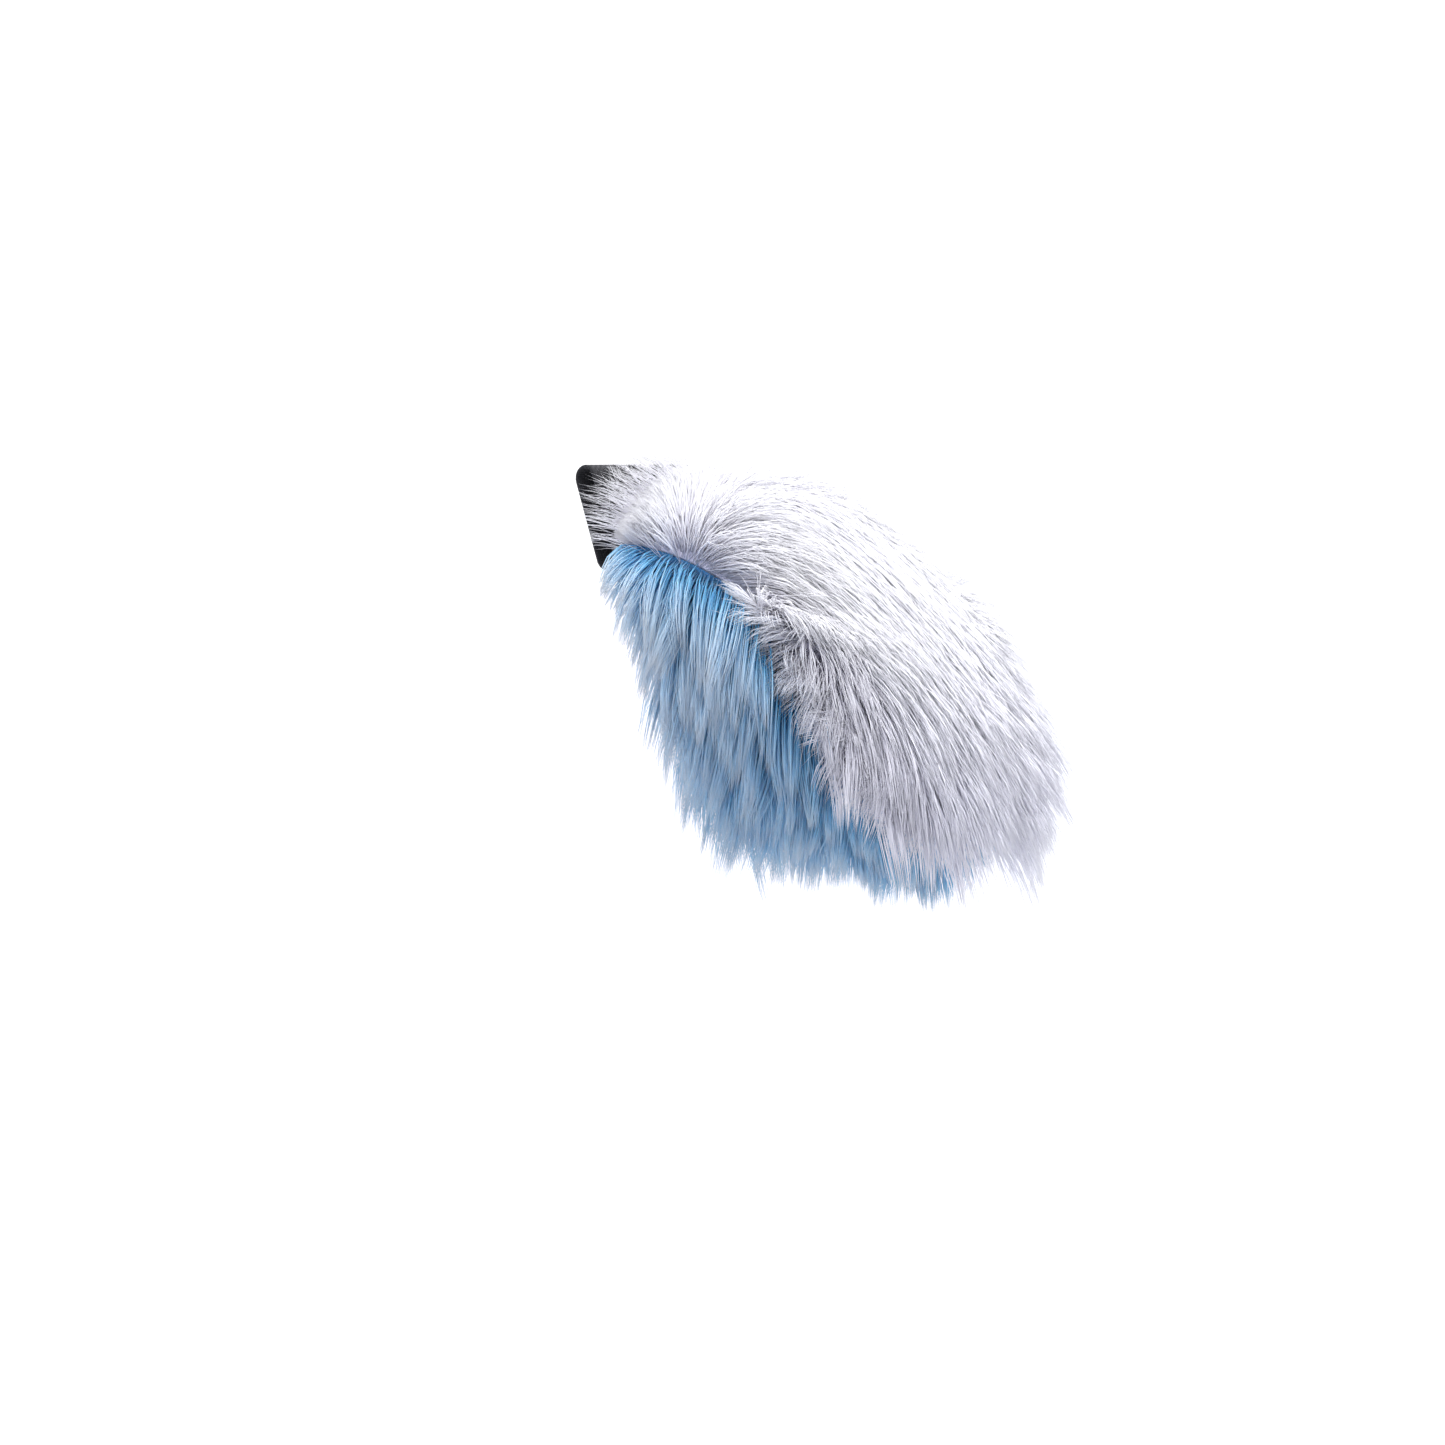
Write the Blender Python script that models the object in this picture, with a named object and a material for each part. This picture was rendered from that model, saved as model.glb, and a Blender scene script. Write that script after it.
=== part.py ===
"""A short costume tail of long-pile faux fur, with two webbing loops that a belt runs through.

Metres, +Z up. The tail stands out along -Y and hangs down at its end. The origin is the middle of the
belt's way through the loops. The base leans with the wearer's back.
"""

import math
import random

import bmesh
import bpy
from mathutils import Matrix, Vector

# Belt loops
WEB_WIDTH = 0.038
WEB_THICK = 0.0018
LOOP_SPACING = 0.008
BELT_ROOM_TALL = 0.040
BELT_ROOM_DEEP = 0.009
LOOP_PINCH_TALL = 0.009
SEWN_TAB_TALL = 0.008
LOOP_ARC_STEPS = 8

# Base panel
BASE_LEAN = math.radians(20)
BASE_DROP = 0.012
BASE_THICK = 0.002
BASE_MARGIN = 0.004
BASE_SIDES = 24

# Stuffed core, and the fabric round it
CORE_WIDTH = 0.100
CORE_THICK = 0.072
CORE_REACH = 0.160
CORE_HANG = 0.112
FABRIC = 0.002
CORE_RINGS = 12
CORE_SIDES = 16

# Fur
TOP_PILE = 0.062
UNDER_PILE = 0.062
LOCK_RADIUS = 0.0106
LOCK_TIP = 0.0018
LOCK_ROWS = 10
TOP_LOCKS_ROUND = 8
UNDER_LOCKS_ROUND = 7
UNDER_LOCKS_AT_TIP = 4
TIP_FROM = 0.85
FIRST_ROW_AT = 0.03
LAST_ROW_AT = 0.99
ROW_STAGGER = (0.25, 0.75)
TOP_SEED = 3
UNDER_SEED = 12

# How far round the form the upper panel's locks reach below its sides, and the lower panel's stay clear of them
TOP_REACH_DOWN = math.radians(6)
UNDER_STAY_CLEAR = math.radians(3)

# Clearances
GAP = 0.0003
PAST = 0.05
FAR = 1.0

# How wide and how thick the core is along its length, as shares of CORE_WIDTH and CORE_THICK
CORE_SECTIONS = [
    # along, width, thick
    (0.00, 0.84, 0.64),
    (0.07, 0.93, 0.73),
    (0.16, 0.98, 0.82),
    (0.33, 1.00, 0.94),
    (0.50, 1.00, 1.00),
    (0.70, 0.98, 1.00),
    (0.83, 0.86, 0.88),
    (0.92, 0.64, 0.66),
    (0.975, 0.36, 0.38),
]
LEAN_ENDS = 0.33
ROUND_TIP_AT = 0.99

# The middle two of the four control points of the core's centre line, as shares of CORE_REACH and CORE_HANG
CORE_BEND = [
    # reach, hang
    (0.38, -0.01),
    (0.70, 0.42),
]

# How each stretch of fur is combed along the core, away from its base (+) or back over it (-), how far it
# stands up, how much it leans towards the ridge, and its length as a share of the pile
RIDGE_FUR = [
    # along, comb, stand, rise, length
    (0.00, -0.75, 0.14, 0.00, 0.20),
    (0.10, -0.70, 0.18, 0.00, 0.26),
    (0.18, -0.60, 0.20, 0.00, 0.30),
    (0.24, 0.30, 0.26, 0.00, 0.26),
    (0.30, 0.85, 0.16, 0.00, 0.50),
    (0.38, 0.95, 0.04, 0.00, 0.76),
    (0.50, 1.00, 0.04, 0.00, 0.90),
    (0.70, 0.92, 0.16, 0.00, 0.80),
    (1.00, 0.85, 0.50, 0.00, 0.66),
]
SIDE_FUR = [
    # along, comb, stand, rise, length
    (0.00, -0.75, 0.10, 0.20, 0.20),
    (0.10, -0.75, 0.18, 0.25, 0.30),
    (0.20, -0.65, 0.30, 0.35, 0.60),
    (0.28, -0.20, 0.46, 0.50, 0.76),
    (0.35, 0.55, 0.34, 0.55, 0.86),
    (0.50, 0.90, 0.24, 0.45, 0.98),
    (0.62, 0.90, 0.30, 0.12, 0.94),
    (0.72, 0.64, 0.44, 0.00, 0.90),
    (0.85, 0.64, 0.50, 0.00, 0.92),
    (1.00, 0.70, 0.66, 0.00, 0.80),
]
UNDER_FUR = [
    # along, comb, stand, rise, length
    (0.00, 0.12, 0.42, 0.00, 0.28),
    (0.10, 0.20, 0.56, 0.00, 0.42),
    (0.20, 0.30, 0.72, 0.00, 0.66),
    (0.32, 0.36, 0.86, 0.00, 1.02),
    (0.45, 0.36, 0.92, 0.00, 1.22),
    (0.60, 0.38, 0.90, 0.00, 1.20),
    (0.78, 0.55, 0.85, 0.00, 0.98),
    (1.00, 0.85, 0.70, 0.00, 0.76),
]

# How strongly a lock bends down under its weight: everywhere, more at its sides, and more towards the tip
TOP_FALL = 0.16
TOP_SIDE_FALL = 0.16
SIDE_POWER = 1.5
TIP_FALL = 0.34
UNDER_FALL = 0.80

# A lock's radius at its points, as shares of LOCK_RADIUS, before its tip. A short lock is slimmer.
LOCK_TAPER = [0.72, 1.00, 0.96, 0.72]
SHORT_LOCK = 0.45
FULL_LOCK_FROM = 0.80
ROOT_SINK = 0.40

# How much the locks differ from each other
VARY_ALONG = 0.012
VARY_TURN = 0.07
VARY_LEAN = 0.09
VARY_LENGTH = (0.88, 1.08)
VARY_RADIUS = (0.88, 1.10)

# The parting between the two panels' fur: the seam's height over the centre line at the base and further on,
# and how steeply the parting falls away beside the seam
SEAM_RISE_BASE = 0.004
SEAM_RISE = -0.005
SEAM_LEVEL_FROM = 0.5
SEAM_ROUND = 0.004
PARTING_FALL = [
    # along, fall
    (0.00, 0.30),
    (0.25, 0.45),
    (0.50, 1.60),
    (0.75, 2.60),
    (1.00, 2.60),
]
PARTING_STEPS = (12, 14)
STATIONS = 60

OUT = Vector((0, -math.cos(BASE_LEAN), math.sin(BASE_LEAN)))
UP_BASE = Vector((0, math.sin(BASE_LEAN), math.cos(BASE_LEAN)))
SIDE = Vector((1, 0, 0))
DOWN = Vector((0, 0, -1))

LOOP_OUTER = BELT_ROOM_DEEP / 2 + WEB_THICK
BASE_FROM = LOOP_OUTER + GAP
CORE_FROM = BASE_FROM + BASE_THICK + GAP
LOOP_X = (WEB_WIDTH + LOOP_SPACING) / 2


def read(table, along, column):
    """One column of a table, read straight between its rows."""
    for low, high in zip(table, table[1:]):
        if along <= high[0]:
            share = max(0.0, (along - low[0]) / (high[0] - low[0]))
            return low[column] + (high[column] - low[column]) * share
    return table[-1][column]


def centre_controls():
    """The four control points of the core's centre line, from the base panel to the tip."""
    start = OUT * CORE_FROM - UP_BASE * BASE_DROP
    shares = [(0.0, 0.0)] + CORE_BEND + [(1.0, 1.0)]
    return [start + Vector((0, -reach * CORE_REACH, -hang * CORE_HANG)) for reach, hang in shares]


def centre(along):
    a, b, c, d = centre_controls()
    t, s = along, 1 - along
    return a * s**3 + b * 3 * s * s * t + c * 3 * s * t * t + d * t**3


def forward(along):
    """The direction of the centre line, towards the tip."""
    a, b, c, d = centre_controls()
    t, s = along, 1 - along
    return ((b - a) * s * s + (c - b) * 2 * s * t + (d - c) * t * t).normalized()


def upward(along):
    """A section's upward direction: along the base at the base, square to the centre line further on."""
    square = forward(along).cross(SIDE)
    return UP_BASE.lerp(square, min(1.0, along / LEAN_ENDS)).normalized()


def half_sizes(along):
    """Half the core's width and thickness, with its tip rounded off."""
    last = CORE_SECTIONS[-1]
    wide, thick = (read(CORE_SECTIONS, along, column) for column in (1, 2))
    if along > last[0]:
        left = math.sqrt((1 - along) / (1 - last[0]))
        wide, thick = last[1] * left, last[2] * left
    return wide * CORE_WIDTH / 2, thick * CORE_THICK / 2


def on_form(along, angle):
    """A point on the core, with angle 0 at +X and a quarter turn at the top."""
    wide, thick = half_sizes(along)
    across = SIDE * wide * math.cos(angle)
    return centre(along) + across + upward(along) * thick * math.sin(angle)


def outward(along, angle, step=0.01):
    """The core's own direction outwards, which turns with its shoulders and its tip."""
    low, high = max(0.0, along - step), min(1.0, along + step)
    run = on_form(high, angle) - on_form(low, angle)
    turn = on_form(along, angle + step) - on_form(along, angle - step)
    normal = turn.cross(run)
    if normal.dot(on_form(along, angle) - centre(along)) < 0:
        normal = -normal
    return normal.normalized()


def off_form(along, angle, distance):
    """A point this far outside the core."""
    return on_form(along, angle) + outward(along, angle) * distance


def mesh_object(name, bm, collection):
    bmesh.ops.recalc_face_normals(bm, faces=bm.faces[:])
    mesh = bpy.data.meshes.new(name)
    bm.to_mesh(mesh)
    bm.free()
    obj = bpy.data.objects.new(name, mesh)
    collection.objects.link(obj)
    return obj


def form_solid(name, grow, past_base, collection):
    """The core's form as a closed loft, grown by a distance, from past its base to its tip."""
    shoulder = CORE_SECTIONS[1][0]
    run = CORE_SECTIONS[-1][0] - shoulder
    alongs = [0.0, shoulder / 2]
    alongs += [shoulder + run * k / (CORE_RINGS - 4) for k in range(CORE_RINGS - 3)]
    alongs += [ROUND_TIP_AT]
    bm = bmesh.new()
    rings = []
    for along in alongs:
        turns = [math.tau * k / CORE_SIDES for k in range(CORE_SIDES)]
        rings.append([bm.verts.new(off_form(along, turn, grow)) for turn in turns])
    if past_base:
        rings.insert(0, [bm.verts.new(vert.co - OUT * past_base) for vert in rings[0]])
    for low, high in zip(rings, rings[1:]):
        for k in range(CORE_SIDES):
            j = (k + 1) % CORE_SIDES
            bm.faces.new((low[k], low[j], high[j]))
            bm.faces.new((low[k], high[j], high[k]))
    bm.faces.new(rings[0])
    tip = bm.verts.new(centre(1.0) + forward(1.0) * grow)
    for k in range(CORE_SIDES):
        bm.faces.new((rings[-1][k], rings[-1][(k + 1) % CORE_SIDES], tip))
    return mesh_object(name, bm, collection)


def to_ridge(along, angle, step=0.01):
    """The direction round the core, towards its ridge."""
    turn = on_form(along, angle + step) - on_form(along, angle - step)
    return turn.normalized() * math.copysign(1, math.cos(angle))


def lock_points(along, angle, combing, pile, fall, lean):
    """The middle line of one lock: it leaves the form, is combed along it and bends down under its weight."""
    comb, stand, rise, share = combing
    length = pile * share
    direction = outward(along, angle) * stand + forward(along) * comb + to_ridge(along, angle) * rise
    direction = (direction + lean).normalized()
    points = [off_form(along, angle, FABRIC) - direction * LOCK_RADIUS * ROOT_SINK]
    steps = len(LOCK_TAPER)
    for step in range(steps):
        points.append(points[-1] + direction * length / steps)
        direction = (direction + DOWN * fall * (step + 1) / steps).normalized()
    return points


def lock_solid(name, points, radius, collection):
    """One lock as a closed tapering strand."""
    data = bpy.data.curves.new(name, "CURVE")
    data.dimensions = "3D"
    data.bevel_depth = 1.0
    data.bevel_resolution = 0
    data.use_fill_caps = True
    spline = data.splines.new("POLY")
    spline.points.add(len(points) - 1)
    radii = [share * radius for share in LOCK_TAPER] + [LOCK_TIP]
    for place, point, thickness in zip(spline.points, points, radii):
        place.co = (*point, 1)
        place.radius = thickness
    curve = bpy.data.objects.new(name + "_curve", data)
    collection.objects.link(curve)
    bpy.context.view_layer.update()
    graph = bpy.context.evaluated_depsgraph_get()
    mesh = bpy.data.meshes.new_from_object(curve.evaluated_get(graph), depsgraph=graph)
    bm = bmesh.new()
    bm.from_mesh(mesh)
    bmesh.ops.remove_doubles(bm, verts=bm.verts[:], dist=1e-6)
    bpy.data.objects.remove(curve)
    bpy.data.meshes.remove(mesh)
    return mesh_object(name, bm, collection)


def top_comb(along, angle, column):
    """The upper panel's fur: laid back on the ridge, and fanned out at its sides."""
    ridge = max(0.0, math.sin(angle)) ** 2
    side = read(SIDE_FUR, along, column)
    return side + (read(RIDGE_FUR, along, column) - side) * ridge


def under_comb(along, angle, column):
    return read(UNDER_FUR, along, column)


def top_fall(along, angle):
    return TOP_FALL + TOP_SIDE_FALL * abs(math.cos(angle)) ** SIDE_POWER + TIP_FALL * along


def under_fall(along, angle):
    return UNDER_FALL


def top_turns(along):
    """From below one side, over the top, to below the other."""
    return -TOP_REACH_DOWN, math.pi + TOP_REACH_DOWN, TOP_LOCKS_ROUND


def under_turns(along):
    """From one side, round below, to the other."""
    count = UNDER_LOCKS_ROUND if along < TIP_FROM else UNDER_LOCKS_AT_TIP
    return -math.pi + UNDER_STAY_CLEAR, -UNDER_STAY_CLEAR, count


def panel_locks(rows, turns_of, pile, comb_of, fall_of, seed):
    """A lock at each root of a staggered pattern over the panel."""
    random.seed(seed)
    locks = []
    for row in range(rows):
        station = FIRST_ROW_AT + (LAST_ROW_AT - FIRST_ROW_AT) * row / (LOCK_ROWS - 1)
        low, high, count = turns_of(station)
        stagger = ROW_STAGGER[row % 2]
        for k in range(count):
            along = station + random.uniform(-VARY_ALONG, VARY_ALONG)
            along = max(0.0, min(1.0, along))
            turn = low + (high - low) * (k + stagger) / count
            turn += random.uniform(-VARY_TURN, VARY_TURN)
            lean = Vector([random.uniform(-VARY_LEAN, VARY_LEAN) for _ in range(3)])
            combing = [comb_of(along, turn, column) for column in (1, 2, 3, 4)]
            own_pile = pile * random.uniform(*VARY_LENGTH)
            slim = SHORT_LOCK + (1 - SHORT_LOCK) * min(1.0, combing[-1] / FULL_LOCK_FROM)
            radius = LOCK_RADIUS * slim * random.uniform(*VARY_RADIUS)
            points = lock_points(along, turn, combing, own_pile, fall_of(along, turn), lean)
            locks.append((points, radius))
    return locks


def parting_height(x, y):
    """The height, over a point of the plan, of the surface that parts the two panels' fur."""
    station = min(range(STATIONS + 1), key=lambda k: abs(centre(k / STATIONS).y - y))
    along = station / STATIONS
    level = min(1.0, along / SEAM_LEVEL_FROM)
    seam = centre(along).z + SEAM_RISE_BASE + (SEAM_RISE - SEAM_RISE_BASE) * level
    wide, _ = half_sizes(min(along, TIP_FROM))
    beside = max(0.0, abs(x) - wide + SEAM_ROUND)
    past_tip = max(0.0, centre(1.0).y - y)
    return seam - read(PARTING_FALL, along, 1) * math.hypot(beside, past_tip)


def parting_solid(name, lift, lid_height, collection):
    """All the room between the parting and a flat lid above or below it, as a closed solid."""
    bm = bmesh.new()
    across, along = PARTING_STEPS
    bmesh.ops.create_grid(bm, x_segments=across, y_segments=along, size=0.5)
    half_wide = CORE_WIDTH / 2 + TOP_PILE + PAST
    front, back = -CORE_REACH - TOP_PILE - PAST, PAST
    for vert in bm.verts:
        x = vert.co.x * 2 * half_wide
        y = front + (vert.co.y + 0.5) * (back - front)
        vert.co = (x, y, parting_height(x, y) + lift)
    bmesh.ops.triangulate(bm, faces=bm.faces[:], quad_method="FIXED")
    lid = bmesh.ops.extrude_face_region(bm, geom=bm.faces[:])
    for item in lid["geom"]:
        if isinstance(item, bmesh.types.BMVert):
            item.co.z = lid_height
    return mesh_object(name, bm, collection)


def join(target, other, operation, solver="EXACT"):
    """A Boolean that is applied at once, so that the next one starts from its result."""
    modifier = target.modifiers.new(operation.lower(), "BOOLEAN")
    modifier.operation = operation
    modifier.object = other
    modifier.solver = solver
    if solver == "EXACT":
        modifier.use_self = True
    bpy.context.view_layer.update()
    graph = bpy.context.evaluated_depsgraph_get()
    mesh = bpy.data.meshes.new_from_object(target.evaluated_get(graph), depsgraph=graph)
    old = target.data
    target.modifiers.clear()
    target.data = mesh
    bpy.data.meshes.remove(old)


def keep_largest(obj):
    """Removes what a cut left loose, and any closed pocket between locks."""
    bm = bmesh.new()
    bm.from_mesh(obj.data)
    unseen = set(bm.faces)
    shells = []
    while unseen:
        shell = [unseen.pop()]
        for face in shell:
            for edge in face.edges:
                for other in edge.link_faces:
                    if other in unseen:
                        unseen.remove(other)
                        shell.append(other)
        shells.append(shell)
    shells.sort(key=len)
    for shell in shells[:-1]:
        bmesh.ops.delete(bm, geom=shell, context="FACES")
    loose = [vert for vert in bm.verts if not vert.link_faces]
    bmesh.ops.delete(bm, geom=loose, context="VERTS")
    bm.to_mesh(obj.data)
    bm.free()


def base_frame():
    """Local X across the wearer, local Y up the base, local Z away from the wearer."""
    return Matrix((SIDE, UP_BASE, OUT)).transposed().to_4x4()


def leaning_box(name, low, high, collection):
    """A box along the base's own directions, from its low corner to its high one."""
    bm = bmesh.new()
    bmesh.ops.create_cube(bm, size=1)
    size = [b - a for a, b in zip(low, high)]
    middle = [(a + b) / 2 for a, b in zip(low, high)]
    bmesh.ops.scale(bm, verts=bm.verts[:], vec=size)
    bmesh.ops.translate(bm, verts=bm.verts[:], vec=middle)
    bmesh.ops.transform(bm, matrix=base_frame(), verts=bm.verts[:])
    return mesh_object(name, bm, collection)


def loop_outlines():
    """The outer outline and the slot of a belt loop, as (across the slot, up) points."""
    straight = BELT_ROOM_TALL / 2
    inner, outer = BELT_ROOM_DEEP / 2, LOOP_OUTER
    arc = [math.pi * k / LOOP_ARC_STEPS for k in range(LOOP_ARC_STEPS + 1)]
    pinch = -straight - LOOP_PINCH_TALL
    foot = pinch - SEWN_TAB_TALL
    outside = [(outer, foot)]
    outside += [(outer * math.cos(a), straight + outer * math.sin(a)) for a in arc]
    outside += [(-outer, -straight), (inner - WEB_THICK, pinch), (inner - WEB_THICK, foot)]
    slot = [(inner * math.cos(a), straight + inner * math.sin(a)) for a in arc]
    slot += [(-inner, -straight), (inner, pinch)]
    return outside, slot


def belt_loop(name, x, collection):
    """A strip of webbing folded over the belt's room, its ends sewn together at the foot."""
    data = bpy.data.curves.new(name, "CURVE")
    data.dimensions = "2D"
    data.fill_mode = "BOTH"
    data.extrude = WEB_WIDTH / 2
    for outline in loop_outlines():
        spline = data.splines.new("POLY")
        spline.points.add(len(outline) - 1)
        for point, (out, up) in zip(spline.points, outline):
            point.co = (out, up, 0, 1)
        spline.use_cyclic_u = True
    obj = bpy.data.objects.new(name, data)
    collection.objects.link(obj)
    turn = Matrix((OUT, UP_BASE, OUT.cross(UP_BASE))).transposed().to_4x4()
    obj.matrix_world = Matrix.Translation((x, 0, 0)) @ turn
    return obj


def base_panel(name, collection):
    """The oval of cloth that closes the base, which the loops are sewn to."""
    wide, tall = (2 * (half + BASE_MARGIN) for half in half_sizes(0.0))
    bm = bmesh.new()
    bmesh.ops.create_cone(
        bm, cap_ends=True, segments=BASE_SIDES, radius1=0.5, radius2=0.5, depth=1
    )
    bmesh.ops.scale(bm, verts=bm.verts[:], vec=(wide, tall, BASE_THICK))
    middle = (0, -BASE_DROP, BASE_FROM + BASE_THICK / 2)
    bmesh.ops.translate(bm, verts=bm.verts[:], vec=middle)
    bmesh.ops.transform(bm, matrix=base_frame(), verts=bm.verts[:])
    return mesh_object(name, bm, collection)


def base_rooms(collection):
    """Where no fur may be: beside the loops on the wearer's side, and where the base panel lies."""
    half_wide, half_tall = (half + BASE_MARGIN + GAP for half in half_sizes(0.0))
    half_wide = max(half_wide, LOOP_X + WEB_WIDTH / 2 + GAP)
    low = -BASE_DROP - half_tall
    high = BELT_ROOM_TALL / 2 + LOOP_OUTER + GAP
    wearer = leaning_box("wearer_side", (-FAR, -FAR, -FAR), (FAR, FAR, BASE_FROM), collection)
    base = leaning_box("base_room", (-half_wide, low, 0), (half_wide, high, CORE_FROM), collection)
    return wearer, base


def fur_panel(name, locks, collection, cutters, room):
    """The fabric with its locks fused on, hollowed for the core and cut off along the parting by its room."""
    panel = form_solid(name, FABRIC, BASE_THICK, collection)
    for points, radius in locks:
        lock = lock_solid(name + "_lock", points, radius, cutters)
        join(panel, lock, "UNION", solver="MANIFOLD")
        bpy.data.objects.remove(lock)
    join(panel, room, "INTERSECT", solver="MANIFOLD")
    keep_largest(panel)
    return panel


def fur_panels(collection, cutters):
    lift = GAP / 2 * math.hypot(1, PARTING_FALL[-1][1])
    lid = 2 * (CORE_REACH + CORE_HANG + TOP_PILE + PAST)
    above = parting_solid("above_parting", lift, lid, cutters)
    below = parting_solid("below_parting", -lift, -lid * PARTING_FALL[-1][1], cutters)
    core = form_solid("core_room", 0.0, PAST, cutters)
    for room in (above, below):
        for cutter in (core, *base_rooms(cutters)):
            join(room, cutter, "DIFFERENCE")
    top_locks = panel_locks(LOCK_ROWS, top_turns, TOP_PILE, top_comb, top_fall, TOP_SEED)
    under_locks = panel_locks(
        LOCK_ROWS - 1, under_turns, UNDER_PILE, under_comb, under_fall, UNDER_SEED
    )
    top = fur_panel("top_fur", top_locks, collection, cutters, above)
    under = fur_panel("under_fur", under_locks, collection, cutters, below)
    return top, under


def material(name, colour, roughness):
    made = bpy.data.materials.new(name)
    made.use_nodes = True
    shader = made.node_tree.nodes["Principled BSDF"]
    shader.inputs["Base Color"].default_value = (*colour, 1)
    shader.inputs["Roughness"].default_value = roughness
    shader.inputs["Metallic"].default_value = 0.0
    made.diffuse_color = (*colour, 1)
    return made


def main():
    for obj in list(bpy.data.objects):
        bpy.data.objects.remove(obj)
    parts = bpy.data.collections.new("costume_tail")
    cutters = bpy.data.collections.new("cutters")
    for collection in (parts, cutters):
        bpy.context.scene.collection.children.link(collection)

    top, under = fur_panels(parts, cutters)
    filling = form_solid("filling", -GAP, 0.0, parts)
    base = base_panel("base_panel", parts)
    left = belt_loop("belt_loop_left", -LOOP_X, parts)
    right = belt_loop("belt_loop_right", LOOP_X, parts)
    for cutter in cutters.objects:
        cutter.hide_render = True
        cutter.display_type = "WIRE"

    top.data.materials.append(material("lavender_white_fur", (0.86, 0.85, 0.93), 0.9))
    under.data.materials.append(material("sky_blue_fur", (0.25, 0.50, 0.78), 0.9))
    filling.data.materials.append(material("white_fibre", (0.85, 0.85, 0.85), 1.0))
    base.data.materials.append(material("black_cloth", (0.02, 0.02, 0.022), 0.95))
    webbing = material("black_webbing", (0.012, 0.012, 0.014), 0.8)
    for loop in (left, right):
        loop.data.materials.append(webbing)


main()
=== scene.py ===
# %% [markdown]
# # A short costume tail of long faux fur
#
# This lesson dresses a plain solid model of a costume tail. The solid model is exact in size but plain:
# two panels of coarse fur locks, a stuffed core, a black base panel and two loops for a belt. Here each of
# them gets what the eye expects: fur of many thousand hairs, woven webbing, felt and sewing thread.
#
# Everything is in metres. The tail stands out along -Y and hangs down at its end, and the belt runs along X
# through the origin.

# %% Load the solid model
import math

import bmesh
import bpy
import numpy as np
from mathutils import Matrix, Vector
from mathutils.kdtree import KDTree


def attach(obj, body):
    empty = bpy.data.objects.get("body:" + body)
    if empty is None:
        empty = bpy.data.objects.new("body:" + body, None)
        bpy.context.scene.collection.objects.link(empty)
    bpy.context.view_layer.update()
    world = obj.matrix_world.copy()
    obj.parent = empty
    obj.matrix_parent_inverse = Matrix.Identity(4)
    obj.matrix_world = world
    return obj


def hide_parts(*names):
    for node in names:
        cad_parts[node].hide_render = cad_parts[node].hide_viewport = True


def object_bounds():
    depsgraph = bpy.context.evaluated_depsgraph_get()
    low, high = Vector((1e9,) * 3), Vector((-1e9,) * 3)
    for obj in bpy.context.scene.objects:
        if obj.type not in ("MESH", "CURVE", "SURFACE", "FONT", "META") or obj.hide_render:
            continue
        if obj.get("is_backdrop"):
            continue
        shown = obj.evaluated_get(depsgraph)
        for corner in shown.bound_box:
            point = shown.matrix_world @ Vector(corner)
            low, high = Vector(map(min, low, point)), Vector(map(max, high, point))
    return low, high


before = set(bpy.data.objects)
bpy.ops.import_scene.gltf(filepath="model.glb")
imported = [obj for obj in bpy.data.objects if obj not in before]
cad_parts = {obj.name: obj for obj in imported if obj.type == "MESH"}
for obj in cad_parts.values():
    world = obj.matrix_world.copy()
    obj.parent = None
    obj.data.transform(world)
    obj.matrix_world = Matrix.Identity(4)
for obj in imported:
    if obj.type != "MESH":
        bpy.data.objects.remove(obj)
cad_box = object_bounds()
print("nodes:", sorted(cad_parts))
print("solid model's box:", [[round(v, 4) for v in corner] for corner in cad_box])

# %% [markdown]
# ## The sizes that everything follows
#
# The fur grows from a curved, stuffed form. To grow hair on it, we describe that form with a few named
# sizes and one short table of sections, the same ones that the solid model was made from. A table of shares
# is easy to read: each row says how wide and how thick the form is at a place along it.

# %% Sizes of the form and the fur
BASE_LEAN = math.radians(20)
BASE_DROP = 0.012
BASE_THICK = 0.002
BASE_MARGIN = 0.004
CORE_WIDTH = 0.100
CORE_THICK = 0.072
CORE_REACH = 0.160
CORE_HANG = 0.112
PILE = 0.064
GAP = 0.0003

WEB_WIDTH = 0.038
WEB_THICK = 0.0018
LOOP_SPACING = 0.008
BELT_ROOM_TALL = 0.040
BELT_ROOM_DEEP = 0.009
LOOP_PINCH_TALL = 0.009
SEWN_TAB_TALL = 0.008

OUT = np.array((0, -math.cos(BASE_LEAN), math.sin(BASE_LEAN)))
UP_BASE = np.array((0, math.sin(BASE_LEAN), math.cos(BASE_LEAN)))
SIDE = np.array((1.0, 0, 0))
DOWN = np.array((0, 0, -1.0))

LOOP_OUTER = BELT_ROOM_DEEP / 2 + WEB_THICK
BASE_FROM = LOOP_OUTER + GAP
CORE_FROM = BASE_FROM + BASE_THICK + GAP
LOOP_X = (WEB_WIDTH + LOOP_SPACING) / 2

CORE_SECTIONS = [
    # along, width, thick
    (0.00, 0.84, 0.64),
    (0.07, 0.93, 0.73),
    (0.16, 0.98, 0.82),
    (0.33, 1.00, 0.94),
    (0.50, 1.00, 1.00),
    (0.70, 0.98, 1.00),
    (0.83, 0.86, 0.88),
    (0.92, 0.64, 0.66),
    (0.975, 0.36, 0.38),
]
CORE_BEND = [(0.0, 0.0), (0.38, -0.01), (0.70, 0.42), (1.0, 1.0)]
LEAN_ENDS = 0.33
print("pile", PILE * 1000, "mm on a form", CORE_WIDTH * 1000, "mm wide")

# %% [markdown]
# ## Walking over the form
#
# Every hair needs a root on the form, the direction outwards there, and the direction along the tail. These
# helpers give them for thousands of roots at once, because numpy works on whole arrays. A root is named by
# two numbers: how far along the tail it is, from 0 to 1, and its angle round it, with the top at 90 degrees.

# %% Helpers for the form


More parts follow.
